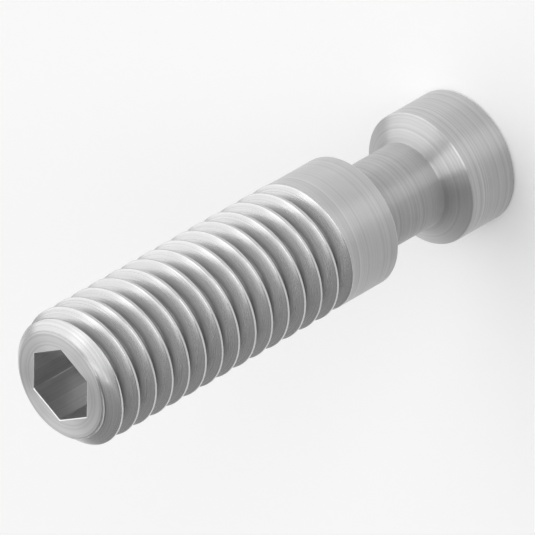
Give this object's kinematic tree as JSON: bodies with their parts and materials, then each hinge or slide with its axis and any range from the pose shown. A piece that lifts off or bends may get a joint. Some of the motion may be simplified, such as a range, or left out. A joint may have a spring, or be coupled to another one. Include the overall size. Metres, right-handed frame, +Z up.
{
  "type": "clamping screw",
  "caption": "Turned steel clamping screw: metric threaded end with a hexagon socket, plain collar, slim neck that a lever or fork grips, and a round head with a coned underside.",
  "frame": {"origin": "middle of the head's flat end, on the screw's axis", "axes": "+Z up the axis from the head to the hexagon socket; +X through a corner of the socket"},
  "size_m": [0.006, 0.006, 0.0245],
  "materials": {
    "steel": "satin"
  },
  "bodies": {
    "root": {"clamping_screw": "steel"}
  },
  "joints": []
}
